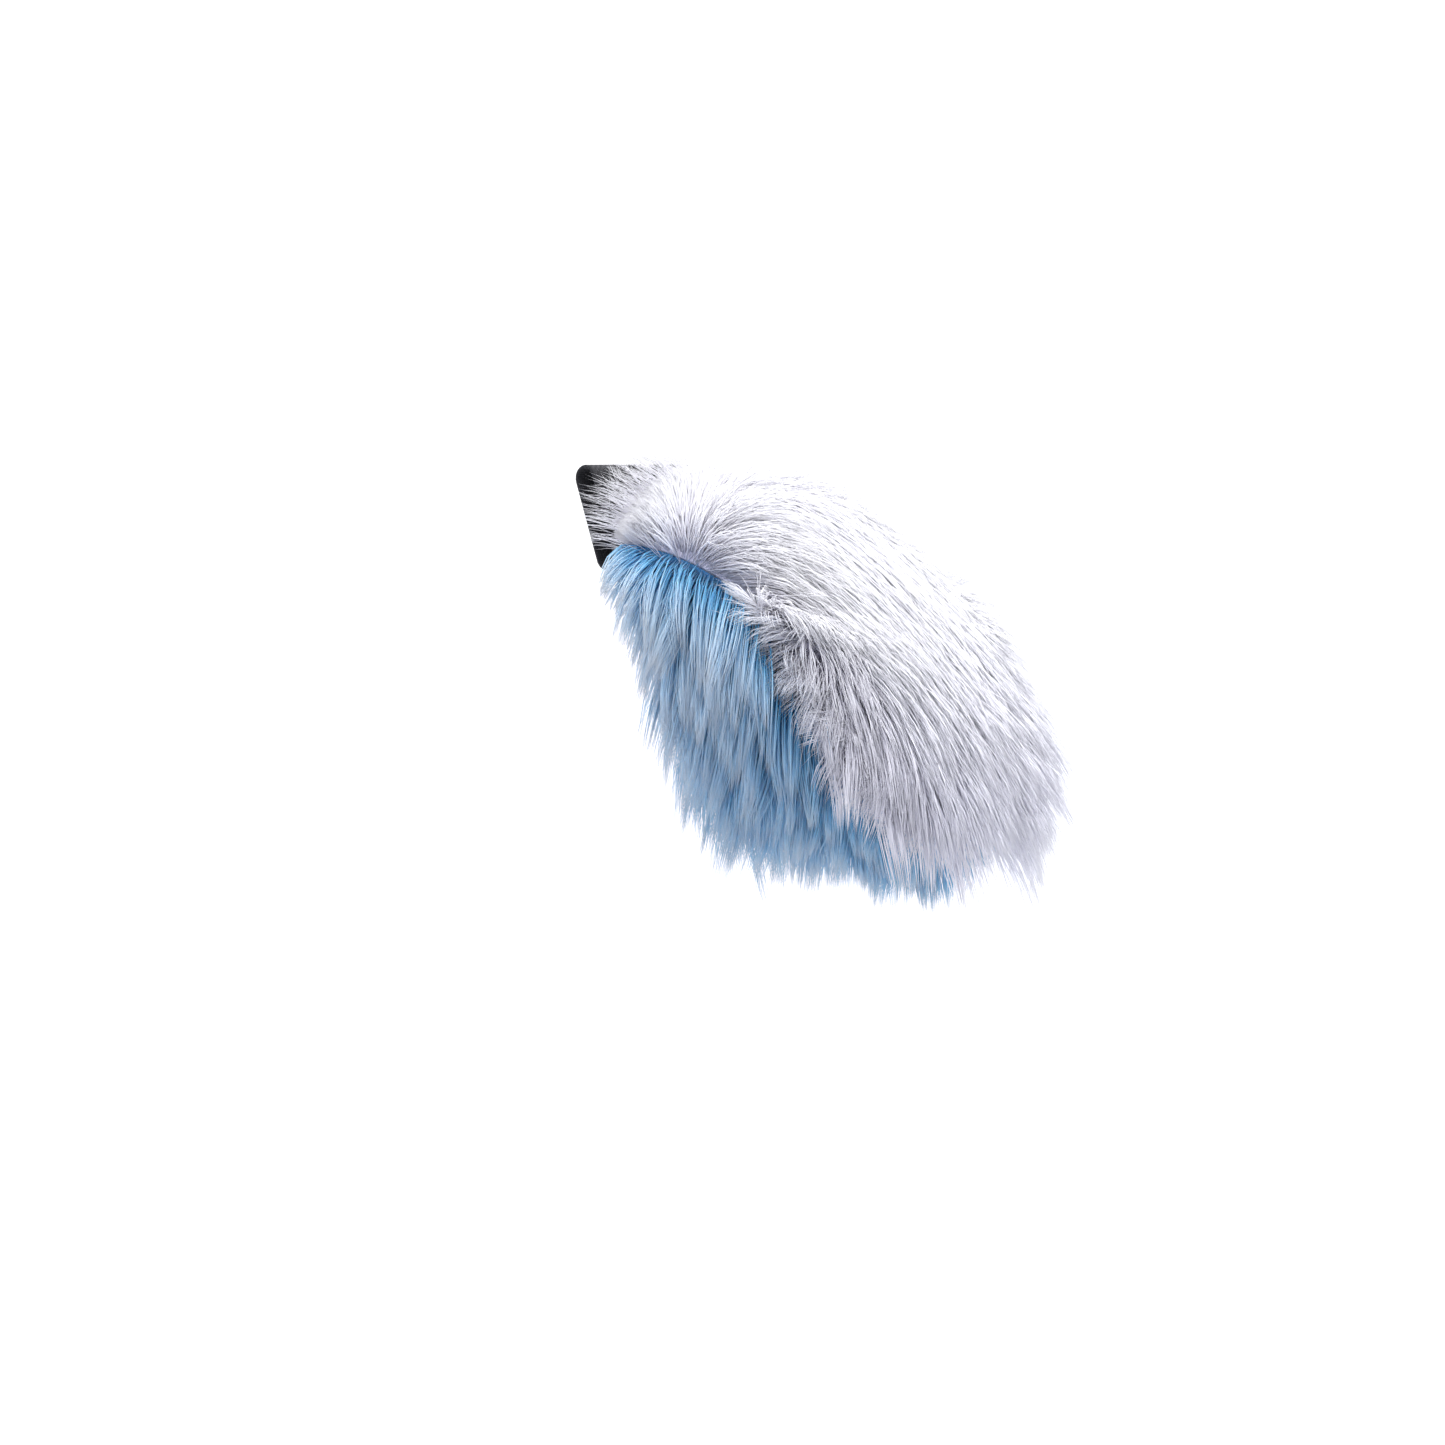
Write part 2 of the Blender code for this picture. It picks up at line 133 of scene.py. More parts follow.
def read(table, along, column):
    """One column of a table, read straight between its rows."""
    rows = np.array(table)
    return np.interp(along, rows[:, 0], rows[:, column])


def unit(vectors):
    return vectors / np.maximum(np.linalg.norm(vectors, axis=-1, keepdims=True), 1e-12)


def bend_points():
    start = OUT * CORE_FROM - UP_BASE * BASE_DROP
    return [start + np.array((0, -reach * CORE_REACH, -hang * CORE_HANG)) for reach, hang in CORE_BEND]


def centre(along):
    a, b, c, d = bend_points()
    t = np.asarray(along, float)[..., None]
    s = 1 - t
    return a * s**3 + b * 3 * s * s * t + c * 3 * s * t * t + d * t**3


def forward(along):
    a, b, c, d = bend_points()
    t = np.asarray(along, float)[..., None]
    s = 1 - t
    return unit((b - a) * s * s + (c - b) * 2 * s * t + (d - c) * t * t)


def upward(along):
    square = np.cross(forward(along), SIDE)
    share = np.minimum(1.0, np.asarray(along, float) / LEAN_ENDS)[..., None]
    return unit(UP_BASE + (square - UP_BASE) * share)


def half_sizes(along):
    along = np.asarray(along, float)
    last = CORE_SECTIONS[-1]
    left = np.sqrt(np.clip((1 - along) / (1 - last[0]), 0, 1))
    past = along > last[0]
    wide = np.where(past, last[1] * left, read(CORE_SECTIONS, along, 1))
    thick = np.where(past, last[2] * left, read(CORE_SECTIONS, along, 2))
    return wide * CORE_WIDTH / 2, thick * CORE_THICK / 2


def on_form(along, angle):
    wide, thick = half_sizes(along)
    across = SIDE * (wide * np.cos(angle))[..., None]
    return centre(along) + across + upward(along) * (thick * np.sin(angle))[..., None]


def outward(along, angle, step=0.01):
    low = np.maximum(0, along - step)
    high = np.minimum(1, along + step)
    run = on_form(high, angle) - on_form(low, angle)
    turn = on_form(along, angle + step) - on_form(along, angle - step)
    normal = np.cross(turn, run)
    away = on_form(along, angle) - centre(along)
    sign = np.sign(np.sum(normal * away, axis=-1, keepdims=True))
    return unit(normal * np.where(sign == 0, 1, sign))


def round_the_form(along, angle, step=0.01):
    """The direction round the form, the way the angle grows."""
    return unit(on_form(along, angle + step) - on_form(along, angle - step))


middle = on_form(np.array([0.5]), np.array([math.pi / 2]))[0]
print("top of the form halfway along:", np.round(middle, 4))

# %% [markdown]
# ## The camera
#
# The camera looks at the tail from behind and to one side, a little from above, as the photograph does. Its
# direction is made from two angles, and its place from where the belt's line should fall in the picture.

# %% Camera
CAMERA_AZIMUTH = math.radians(-49)
CAMERA_ELEVATION = math.radians(5)
CAMERA_DISTANCE = 1.4
METRES_PER_PIXEL = 0.00047
PICTURE = 1445
ORIGIN_IN_PICTURE = (657, 518)

to_right = Vector((math.cos(CAMERA_AZIMUTH), math.sin(CAMERA_AZIMUTH), 0))
to_camera = Vector((
    math.sin(CAMERA_AZIMUTH) * math.cos(CAMERA_ELEVATION),
    -math.cos(CAMERA_AZIMUTH) * math.cos(CAMERA_ELEVATION),
    math.sin(CAMERA_ELEVATION),
))
to_top = to_camera.cross(to_right)
shift_right = (PICTURE / 2 - ORIGIN_IN_PICTURE[0]) * METRES_PER_PIXEL
shift_up = (ORIGIN_IN_PICTURE[1] - PICTURE / 2) * METRES_PER_PIXEL

camera = bpy.data.objects.new("camera", bpy.data.cameras.new("camera"))
camera.data.sensor_width = 36
camera.data.lens = 36 * CAMERA_DISTANCE / (PICTURE * METRES_PER_PIXEL)
turn = Matrix((to_right, to_top, to_camera)).transposed().to_4x4()
place = to_right * shift_right + to_top * shift_up + to_camera * CAMERA_DISTANCE
camera.matrix_world = Matrix.Translation(place) @ turn
bpy.context.scene.collection.objects.link(camera)
bpy.context.scene.camera = camera
print("lens", round(camera.data.lens, 1), "mm")

# %% [markdown]
# ## Floor and light
#
# A costume tail is photographed on a white ground in very soft light. A white world gives most of that
# light. One large, soft lamp from above and behind the camera lights the top of the fur more than its
# underside, which keeps the blue fur below darker, as it is on the real thing.

# %% Floor
FLOOR_DROP = 0.9
FLOOR_SIZE = 30


def new_material(name):
    made = bpy.data.materials.new(name)
    made.use_nodes = True
    return made, made.node_tree.nodes, made.node_tree.links, made.node_tree.nodes["Principled BSDF"]


bm = bmesh.new()
bmesh.ops.create_grid(bm, x_segments=8, y_segments=8, size=FLOOR_SIZE / 2)
bmesh.ops.translate(bm, verts=bm.verts[:], vec=(0, 0, -FLOOR_DROP))
floor_mesh = bpy.data.meshes.new("floor")
bm.to_mesh(floor_mesh)
bm.free()
floor = bpy.data.objects.new("floor", floor_mesh)
bpy.context.scene.collection.objects.link(floor)
floor_paint, nodes, links, shader = new_material("pale_floor")
light_path = nodes.new("ShaderNodeLightPath")
shown = nodes.new("ShaderNodeMix")
shown.data_type = "RGBA"
shown.inputs["A"].default_value = (0.60, 0.61, 0.64, 1)
shown.inputs["B"].default_value = (0.93, 0.93, 0.94, 1)
links.new(light_path.outputs["Is Camera Ray"], shown.inputs["Factor"])
links.new(shown.outputs["Result"], shader.inputs["Base Color"])
shader.inputs["Roughness"].default_value = 0.9
floor.data.materials.append(floor_paint)
floor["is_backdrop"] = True
print("floor", FLOOR_DROP, "m below the belt")

# %% Light
world = bpy.data.worlds.new("studio")
world.use_nodes = True
nodes, links = world.node_tree.nodes, world.node_tree.links
ray = nodes.new("ShaderNodeLightPath")
sky = nodes.new("ShaderNodeMix")
sky.data_type = "RGBA"
sky.inputs["A"].default_value = (0.92, 0.925, 1.0, 1)
sky.inputs["B"].default_value = (1.0, 1.0, 1.0, 1)
links.new(ray.outputs["Is Camera Ray"], sky.inputs["Factor"])
links.new(sky.outputs["Result"], nodes["Background"].inputs["Color"])
nodes["Background"].inputs["Strength"].default_value = 1.42
bpy.context.scene.world = world

bpy.context.scene.view_settings.view_transform = "Standard"


def soft_lamp(name, spot, size, power, colour):
    lamp = bpy.data.objects.new(name, bpy.data.lights.new(name, "AREA"))
    lamp.data.size = size
    lamp.data.energy = power
    lamp.data.color = colour
    lamp.location = spot
    aim = Vector((0, -0.1, -0.05)) - Vector(spot)
    lamp.rotation_euler = aim.to_track_quat("-Z", "Y").to_euler()
    bpy.context.scene.collection.objects.link(lamp)
    return lamp


soft_lamp("key_lamp", (0.3, -1.1, 1.9), 2.6, 60, (1.0, 0.99, 0.97))
print("world and one soft lamp")

# %% [markdown]
# ## How hair is combed
#
# Faux fur has a direction. On this tail the hair near the base is brushed back over the belt loops. Further
# on it is brushed towards the tip, and it parts and turns in a whorl low on each side. Each row of these
# tables says, for a place along the tail, how strongly the hair goes along it (comb), how far it stands up
# (stand), how much it leans towards the ridge (rise), and how long it is, as a share of the pile.

# %% Combing tables
RIDGE_FUR = [
    # along, comb, stand, rise, length
    (0.00, -0.70, 0.20, 0.00, 0.10),
    (0.10, -0.65, 0.24, 0.00, 0.12),
    (0.18, -0.50, 0.30, 0.00, 0.20),
    (0.24, 0.30, 0.34, 0.00, 0.32),
    (0.30, 0.85, 0.16, 0.00, 0.50),
    (0.38, 0.95, 0.04, 0.00, 0.76),
    (0.50, 1.00, 0.04, 0.00, 0.88),
    (0.70, 0.92, 0.14, 0.00, 0.76),
    (1.00, 0.85, 0.45, 0.00, 0.70),
]
SIDE_FUR = [
    # along, comb, stand, rise, length
    (0.00, -0.75, 0.14, 0.05, 0.10),
    (0.10, -0.75, 0.20, 0.10, 0.15),
    (0.20, -0.65, 0.22, 0.40, 0.34),
    (0.28, -0.10, 0.26, 0.80, 0.56),
    (0.35, 0.60, 0.20, 0.65, 0.76),
    (0.50, 0.95, 0.18, 0.45, 0.94),
    (0.62, 0.90, 0.26, 0.12, 1.04),
    (0.72, 0.62, 0.38, 0.00, 1.14),
    (0.85, 0.62, 0.44, 0.00, 1.16),
    (1.00, 0.68, 0.60, 0.00, 1.10),
]
UNDER_FUR = [
    # along, comb, stand, rise, length
    (0.00, 0.12, 0.42, 0.00, 0.30),
    (0.10, 0.16, 0.56, 0.00, 0.54),
    (0.20, 0.26, 0.72, 0.00, 0.94),
    (0.32, 0.36, 0.86, 0.00, 1.40),
    (0.42, 0.36, 0.94, 0.00, 1.64),
    (0.52, 0.36, 0.94, 0.00, 1.62),
    (0.62, 0.38, 0.92, 0.00, 1.42),
    (0.78, 0.52, 0.88, 0.00, 1.04),
    (1.00, 0.80, 0.70, 0.00, 0.66),
]
UNDER_BESIDE = [
    # along, comb added, share of the stand, share of the length
    (0.00, -0.05, 0.95, 0.90),
    (0.12, -0.08, 0.86, 0.86),
    (0.25, -0.06, 0.60, 0.72),
    (0.40, -0.03, 0.44, 0.60),
    (0.55, 0.00, 0.40, 0.61),
    (1.00, 0.00, 0.50, 0.80),
]
TOP_FALL = 0.16
TOP_SIDE_FALL = 0.16
TIP_FALL = 0.34
UNDER_FALL = 0.80

WHORLS = [
    # along, angle in degrees, reach, strength, length at its eye
    (0.67, 192, 0.026, 0.80, 0.45),
    (0.67, -12, 0.026, 0.80, 0.45),
]
TURNS_AT = 0.27
TURN_WIDTH = 0.06
BARE_BASE = 0.065
SEAM_LINE = [
    # along, degrees below the side
    (0.00, 6),
    (0.28, -2),
    (0.50, -10),
    (0.66, 7),
    (0.80, 15),
    (1.00, 15),
]
print(len(RIDGE_FUR) + len(SIDE_FUR) + len(UNDER_FUR), "rows of combing")

# %% Directions from the tables


def combing(along, angle, upper):
    """How the hair starts at each root: comb, stand, rise and length."""
    if not upper:
        comb, stand, rise, length = (read(UNDER_FUR, along, k) for k in (1, 2, 3, 4))
        added, stand_share, length_share = (read(UNDER_BESIDE, along, k) for k in (1, 2, 3))
        beside = np.abs(np.cos(angle)) ** 1.5
        comb = comb + added * beside
        stand = stand * (1 + (stand_share - 1) * beside)
        return comb, stand, rise, length * (1 + (length_share - 1) * beside)
    ridge = np.maximum(0, np.sin(angle)) ** 2
    found = []
    for column in (1, 2, 3, 4):
        side = read(SIDE_FUR, along, column)
        found.append(side + (read(RIDGE_FUR, along, column) - side) * ridge)
    return found


def first_direction(along, angle, upper):
    """The direction in which each hair leaves the form, and its length as a share of the pile."""
    comb, stand, rise, length = combing(along, angle, upper)
    to_ridge = round_the_form(along, angle) * np.sign(np.cos(angle))[:, None]
    flow = forward(along) * comb[:, None] + to_ridge * rise[:, None]
    roots = on_form(along, angle)
    for whorl_along, degrees, reach, strength, short in WHORLS if upper else []:
        eye = on_form(np.array([whorl_along]), np.array([math.radians(degrees)]))[0]
        away = roots - eye
        normal = outward(along, angle)
        away = away - normal * np.sum(away * normal, axis=1, keepdims=True)
        far = np.linalg.norm(away, axis=1, keepdims=True)
        share = np.exp(-((far / reach) ** 2))
        flow = flow * (1 - share) + away / np.maximum(far, 1e-4) * strength * share
        length = length * (1 - (1 - short) * share[:, 0])
    return unit(outward(along, angle) * stand[:, None] + flow), length


def fall_of(along, angle, upper):
    if upper:
        return TOP_FALL + TOP_SIDE_FALL * np.abs(np.cos(angle)) ** 1.5 + TIP_FALL * along
    return np.full(len(along), UNDER_FALL)


test_along = np.array([0.1, 0.5, 0.9])
test_angle = np.full(3, math.pi)
print("side hair starts along", np.round(first_direction(test_along, test_angle, True)[0], 2).tolist())

# %% [markdown]
# ## Sowing roots
#
# Roots that are sown at random leave bald spots. A sequence that steps by an irrational share fills an area
# evenly without showing rows. The form is narrower at its tip, so the steps along it are stretched by how
# much cloth there is at each place. The first centimetre stays bare, because black cloth is turned over there.

# %% Roots
ROW_STEP = 0.7548776662466927
ROUND_STEP = 0.5698402909980532


def sow(count, upper, rng, jitter=0.004):
    """Roots spread evenly over one panel: how far along, and the angle."""
    k = np.arange(count)
    u = (0.5 + ROW_STEP * k) % 1
    v = (0.5 + ROUND_STEP * k) % 1
    stations = np.linspace(BARE_BASE, 1, 200)
    wide, thick = half_sizes(stations)
    steps = np.linalg.norm(np.diff(centre(stations), axis=0), axis=1)
    cloth = (wide + thick)[1:] * steps
    cloth[-12:] *= 2.2
    filled = np.concatenate(([0], np.cumsum(cloth)))
    along = np.interp(u * filled[-1], filled, stations)
    along = np.clip(along + rng.normal(0, jitter, count), 0, 0.999)
    below = np.radians(read(SEAM_LINE, along, 1))
    if upper:
        low, high = -below, math.pi + below
    else:
        low, high = math.pi + below, math.tau - below
    angle = low + (high - low) * v + rng.normal(0, jitter * 4, count)
    return along, angle


print("a first root:", [round(float(v[0]), 3) for v in sow(1, True, np.random.default_rng(1))])

# %% [markdown]
# ## Growing hair
#
# A hair leaves the cloth in the combed direction and bends down under its weight. Real fur gathers: a few
# hairs make a wisp, and many wisps make a lock with a pointed end. So we grow locks first, then wisps that
# lean to their lock, then hairs that lean to their wisp. The pull grows from root to tip, which gives the
# pointed ends. Where the combing turns round, hair stands in disorder and gathers less. Hair that would grow
# into the wearer's back or into the belt loops is laid on them.

# %% Growing
WEARER_FACE = -LOOP_OUTER + 0.001


def grow(roots, direction, length, fall, steps):
    """Points along every hair, as an array of hairs by points by 3."""
    points = [roots]
    weight = 5 / (steps + 1) / steps
    for step in range(steps):
        points.append(points[-1] + direction * (length / steps)[:, None])
        direction = unit(direction + DOWN * (fall * weight * (step + 1))[:, None])
    return np.stack(points, axis=1)


def lean_to(paths, leaders, pull, narrow):
    """Draws each path towards its nearest leader, more towards the tip."""
    tree = KDTree(len(leaders))
    for k, root in enumerate(leaders[:, 0]):
        tree.insert(root, k)
    tree.balance()
    nearest = np.array([tree.find(root)[1] for root in paths[:, 0]])
    share = np.linspace(0, 1, paths.shape[1])
    offset = (paths[:, 0] - leaders[nearest, 0])[:, None, :]
    gathered = leaders[nearest] + offset * (1 - narrow * share)[None, :, None]
    weight = (np.reshape(pull, (-1, 1)) * share**0.7)[..., None]
    return paths * (1 - weight) + gathered * weight, nearest


def keep_clear(paths, rng):
    """Points past the wearer's back, or in a belt loop, are laid on it."""
    depth = paths @ OUT
    loose = rng.uniform(0, 0.006, len(paths))[:, None]
    face = np.full(depth.shape, WEARER_FACE)
    by_loop = np.abs(paths[..., 0]) < LOOP_X + WEB_WIDTH / 2 + 0.001
    below_top = paths @ UP_BASE < BELT_ROOM_TALL / 2 + LOOP_OUTER
    face[by_loop & below_top] = LOOP_OUTER + 0.001
    return paths + np.maximum(0, face + loose - depth)[..., None] * OUT


def disorder(along, upper):
    """How close a root is to where the upper panel's combing turns round, from 0 to 1."""
    return np.exp(-(((along - TURNS_AT) / TURN_WIDTH) ** 2)) * float(upper)


def gathering(along, angle, upper, soft, firm):
    """How much hair gathers: little on the ridge and where the combing turns, more on the sides and below."""
    ridge = np.clip(np.sin(angle) * 1.4, 0, 1)
    return (firm + (soft - firm) * ridge) * (1 - 0.6 * disorder(along, upper))


def coat(upper, count, share_of_pile, steps, seed, locks, wisps, wander=0.10):
    """A whole coat of hair on one panel: its paths, outward directions, and tones of locks and hairs."""
    rng = np.random.default_rng(seed)
    lock_rng = np.random.default_rng(40 + upper)

    def grown(number, source, loose, lengths):
        along, angle = sow(number, upper, source)
        direction, length = first_direction(along, angle, upper)
        loose = (loose * (1 + 2.2 * disorder(along, upper)))[:, None]
        direction = unit(direction + source.normal(0, 1, direction.shape) * loose)
        length = length * PILE * source.uniform(*lengths, number)
        out = outward(along, angle)
        roots = on_form(along, angle) + out * 0.001
        return grow(roots, direction, length, fall_of(along, angle, upper), steps), along, angle, out

    lock_paths, _, _, _ = grown(locks, lock_rng, 0.14, (0.88, 1.10))
    wisp_paths, wisp_along, wisp_angle, _ = grown(wisps, lock_rng, 0.12, (0.84, 1.12))
    pull = gathering(wisp_along, wisp_angle, upper, 0.25, 0.72)
    wisp_paths, wisp_lock = lean_to(wisp_paths, lock_paths, pull, 0.72)
    paths, along, angle, out = grown(count, rng, wander, (0.74 * share_of_pile, 1.08 * share_of_pile))
    pull = gathering(along, angle, upper, 0.45, 0.82 if upper else 0.90) * share_of_pile
    paths, nearest = lean_to(paths, wisp_paths, pull, 0.80)
    return {
        "paths": keep_clear(paths, rng),
        "angle": angle,
        "out": out,
        "lock_tone": lock_rng.uniform(0, 1, locks)[wisp_lock[nearest]],
        "hair_tone": rng.uniform(0, 1, count),
    }


trial = coat(True, 500, 1.0, 4, 1, 60, 200)
print("500 trial hairs reach down to", round(float(trial["paths"][..., 2].min()), 4))

# %% [markdown]
# ## From paths to one mesh
#
# Each hair is a three-sided spike: a small triangle at every point of its path and a single point at its
# tip. Thousands of them are joined as one mesh, straight from arrays, because a separate object for each
# hair would be slow. Sewing thread is made by the same function, with more sides and blunt ends.

# %% Strands


def strand_mesh(name, paths, radii, sides, pointed):
    """One mesh of many strands. Radii are given for each strand and each point."""
    count, points, _ = paths.shape
    rings = points - 1 if pointed else points
    tangent = np.gradient(paths, axis=1)[:, :rings]
    flat = np.abs(unit(paths[:, -1] - paths[:, 0]))
    away = np.eye(3)[np.argmin(flat, axis=1)][:, None, :]
    first = unit(np.cross(tangent, away))
    second = unit(np.cross(tangent, first))
    around = np.arange(sides) * math.tau / sides
    swing = first[:, :, None] * np.cos(around)[:, None] + second[:, :, None] * np.sin(around)[:, None]
    verts = (paths[:, :rings, None] + swing * radii[:, :rings, None, None]).reshape(count, -1, 3)
    if pointed:
        verts = np.concatenate((verts, paths[:, -1:]), axis=1)
    each = verts.shape[1]

    faces = [tuple(range(sides - 1, -1, -1))]
    for ring in range(rings - 1):
        low = ring * sides
        for k in range(sides):
            j = (k + 1) % sides
            faces.append((low + k, low + j, low + sides + j, low + sides + k))
    last = (rings - 1) * sides
    if pointed:
        faces += [(last + k, last + (k + 1) % sides, each - 1) for k in range(sides)]
    else:
        faces.append(tuple(last + k for k in range(sides)))
    corners = np.concatenate([np.array(face) for face in faces])
    sizes = np.array([len(face) for face in faces])
    starts = (np.arange(count) * each)[:, None]
    all_corners = (corners[None, :] + starts).ravel().astype(np.int32)
    all_sizes = np.tile(sizes, count)

    mesh = bpy.data.meshes.new(name)
    mesh.vertices.add(count * each)
    mesh.vertices.foreach_set("co", verts.astype(np.float32).ravel())
    mesh.loops.add(len(all_corners))
    mesh.loops.foreach_set("vertex_index", all_corners)
    mesh.polygons.add(len(all_sizes))
    face_starts = np.concatenate(([0], np.cumsum(all_sizes)[:-1])).astype(np.int32)
    mesh.polygons.foreach_set("loop_start", face_starts)
    mesh.update(calc_edges=True)
    mesh.validate()
    mesh.shade_smooth()
    triangles = int((sizes - 2).sum()) * count
    print(f"{name}: {count} strands, {triangles} triangles")
    return mesh, each


def add_object(name, mesh, paint, node):
    """Puts a finished mesh in the scene, in the place of a node of the solid model."""
    piece = bpy.data.objects.new(name, mesh)
    bpy.context.scene.collection.objects.link(piece)
    piece.data.materials.append(paint)
    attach(piece, "root")
    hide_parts(node)
    return piece


# %% [markdown]
# ## Surfaces from rows of points
#
# Cloth is easiest to describe as rows of points, each joined to the next. Where a whole row falls together,
# as at the tail's tip, it becomes one closed pole. The same function writes a map of the cloth in metres, so
# that a weave keeps its real size on every piece.

# %% Cloth surfaces


def skin(name, rows, map_rows, map_columns, closed):
    """A mesh from rows of points, with a map named cloth_map in metres along and across."""
    rows = np.asarray(rows)
    across = rows.shape[1]
    columns = across if closed else across - 1
    bm = bmesh.new()
    layer = bm.loops.layers.uv.new("cloth_map")
    verts = [[bm.verts.new(point) for point in row] for row in rows]
    for r in range(len(rows) - 1):
        for k in range(columns):
            j = (k + 1) % across
            face = bm.faces.new((verts[r][k], verts[r][j], verts[r + 1][j], verts[r + 1][k]))
            places = ((r, k), (r, k + 1), (r + 1, k + 1), (r + 1, k))
            for loop, (row, column) in zip(face.loops, places):
                loop[layer].uv = (map_rows[row], map_columns[column])
    bmesh.ops.remove_doubles(bm, verts=bm.verts[:], dist=1e-5)
    bmesh.ops.recalc_face_normals(bm, faces=bm.faces[:])
    mesh = bpy.data.meshes.new(name)
    bm.to_mesh(mesh)
    bm.free()
    mesh.shade_smooth()
    return mesh


def thicken(piece, thickness):
    """Gives a surface its thickness inwards, and rounds it."""
    solid = piece.modifiers.new("thickness", "SOLIDIFY")
    solid.thickness = thickness
    solid.offset = -1
    smooth = piece.modifiers.new("smooth", "SUBSURF")
    smooth.levels = 1
    smooth.render_levels = 1


def path_lengths(points):
    """The distance along a row of points, from its start."""
    steps = np.linalg.norm(np.diff(points, axis=0), axis=1)
    return np.concatenate(([0], np.cumsum(steps)))


print("an inch of path:", path_lengths(np.array([(0, 0, 0), (0.0254, 0, 0)]))[-1])

# %% [markdown]
# ## Woven and knitted finishes
#
# Cloth looks flat unless light catches its threads. This group draws threads from the cloth map: one set
# runs along, the other across, and they pass over and under each other like a chessboard. It puts out a
# height for the bump, and a colour made from that same height: a painted highlight on top of each thread,
# painted shade between the threads, and lighter random specks of lint.

# %% Node group for threads


def build_weave_group():
    group = bpy.data.node_groups.new("threads", "ShaderNodeTree")
    sockets = group.interface
    for label in ("Groove shade", "Thread highlight"):
        sockets.new_socket(label, in_out="INPUT", socket_type="NodeSocketColor")
    for label in ("Threads along", "Threads across"):
        sockets.new_socket(label, in_out="INPUT", socket_type="NodeSocketFloat")
    sockets.new_socket("Colour", in_out="OUTPUT", socket_type="NodeSocketColor")
    sockets.new_socket("Height", in_out="OUTPUT", socket_type="NodeSocketFloat")
    nodes, links = group.nodes, group.links
    given = nodes.new("NodeGroupInput")
    result = nodes.new("NodeGroupOutput")
    cloth = nodes.new("ShaderNodeUVMap")
    cloth.uv_map = "cloth_map"
    split = nodes.new("ShaderNodeSeparateXYZ")
    links.new(cloth.outputs["UV"], split.inputs["Vector"])

    def math_node(operation, first, second=None):
        node = nodes.new("ShaderNodeMath")
        node.operation = operation
        links.new(first, node.inputs[0])
        if isinstance(second, float):
            node.inputs[1].default_value = second
        elif second is not None:
            links.new(second, node.inputs[1])
        return node.outputs[0]

    along = math_node("SINE", math_node("MULTIPLY", split.outputs["X"], given.outputs["Threads along"]))
    across = math_node("SINE", math_node("MULTIPLY", split.outputs["Y"], given.outputs["Threads across"]))
    over = math_node("GREATER_THAN", math_node("MULTIPLY", along, across), 0.0)
    thread = nodes.new("ShaderNodeMix")
    links.new(over, thread.inputs["Factor"])
    links.new(math_node("ABSOLUTE", along), thread.inputs["A"])
    links.new(math_node("ABSOLUTE", across), thread.inputs["B"])
    crown = math_node("POWER", thread.outputs["Result"], 0.6)

    place = nodes.new("ShaderNodeTexCoord")
    lint = nodes.new("ShaderNodeTexNoise")
    lint.inputs["Scale"].default_value = 700
    lint.inputs["Detail"].default_value = 3
    links.new(place.outputs["Object"], lint.inputs["Vector"])
    uneven = math_node("MULTIPLY", lint.outputs["Fac"], 0.5)
    height = math_node("ADD", math_node("MULTIPLY", crown, 0.75), uneven)
    # The colour follows the height: painted shade between threads, a painted highlight on their tops, random lint
    paint = nodes.new("ShaderNodeMix")
    paint.data_type = "RGBA"
    links.new(height, paint.inputs["Factor"])
    links.new(given.outputs["Groove shade"], paint.inputs["A"])
    links.new(given.outputs["Thread highlight"], paint.inputs["B"])
    links.new(paint.outputs["Result"], result.inputs["Colour"])
    links.new(height, result.inputs["Height"])
    return group


def cloth_material(name, groove_shade, thread_highlight, pitches, bump, roughness):
    """A cloth material. Its two colours are the painted shade between threads and the painted highlight on top of
    them. Pitches are the distances between threads, along and across, in metres.
    """
    made, nodes, links, shader = new_material(name)
    group = nodes.new("ShaderNodeGroup")
    group.node_tree = weave_group
    group.inputs["Groove shade"].default_value = (*groove_shade, 1)
    group.inputs["Thread highlight"].default_value = (*thread_highlight, 1)
    group.inputs["Threads along"].default_value = math.pi / pitches[0]
    group.inputs["Threads across"].default_value = math.pi / pitches[1]
    relief = nodes.new("ShaderNodeBump")
    relief.inputs["Strength"].default_value = 0.8
    relief.inputs["Distance"].default_value = bump
    links.new(group.outputs["Height"], relief.inputs["Height"])
    links.new(relief.outputs["Normal"], shader.inputs["Normal"])
    links.new(group.outputs["Colour"], shader.inputs["Base Color"])
    shader.inputs["Roughness"].default_value = roughness
    shader.inputs["Specular IOR Level"].default_value = 0.25
    shader.inputs["Sheen Weight"].default_value = 0.12
    return made


weave_group = build_weave_group()
# Each cloth's first colour is painted shade between its threads, the second a painted highlight on them
webbing = cloth_material("black_webbing_weave", (0.002, 0.002, 0.003), (0.017, 0.017, 0.020), (0.0012, 0.0016), 0.0004, 0.75)
felt = cloth_material("black_cloth_weave", (0.003, 0.003, 0.004), (0.016, 0.016, 0.018), (0.0006, 0.0006), 0.0002, 0.9)
white_knit = cloth_material("lavender_knit", (0.50, 0.50, 0.66), (0.80, 0.79, 0.90), (0.0011, 0.0008), 0.0003, 0.9)
blue_knit = cloth_material("blue_knit", (0.03, 0.14, 0.36), (0.08, 0.30, 0.58), (0.0011, 0.0008), 0.0003, 0.9)
fibre = cloth_material("white_fibre_mat", (0.55, 0.55, 0.57), (0.85, 0.85, 0.85), (0.0031, 0.0043), 0.0008, 1.0)
print("five cloth materials share one group of", len(weave_group.nodes), "nodes")

# %% [markdown]
# ## The stuffed body
#
# Inside the fur is a sewn bag, pressed full of polyester fibre. Stuffing is never quite even, so the body is
# a closed form with a few soft dents. It is made from rings of points that shrink to one point at each end.

# %% Stuffed body
BODY_ROWS = 36
BODY_COLUMNS = 40
DENT = 0.0012


def ring_of(along, angles, offset):
    return on_form(np.full(len(angles), along), angles) + outward(np.full(len(angles), along), angles) * offset


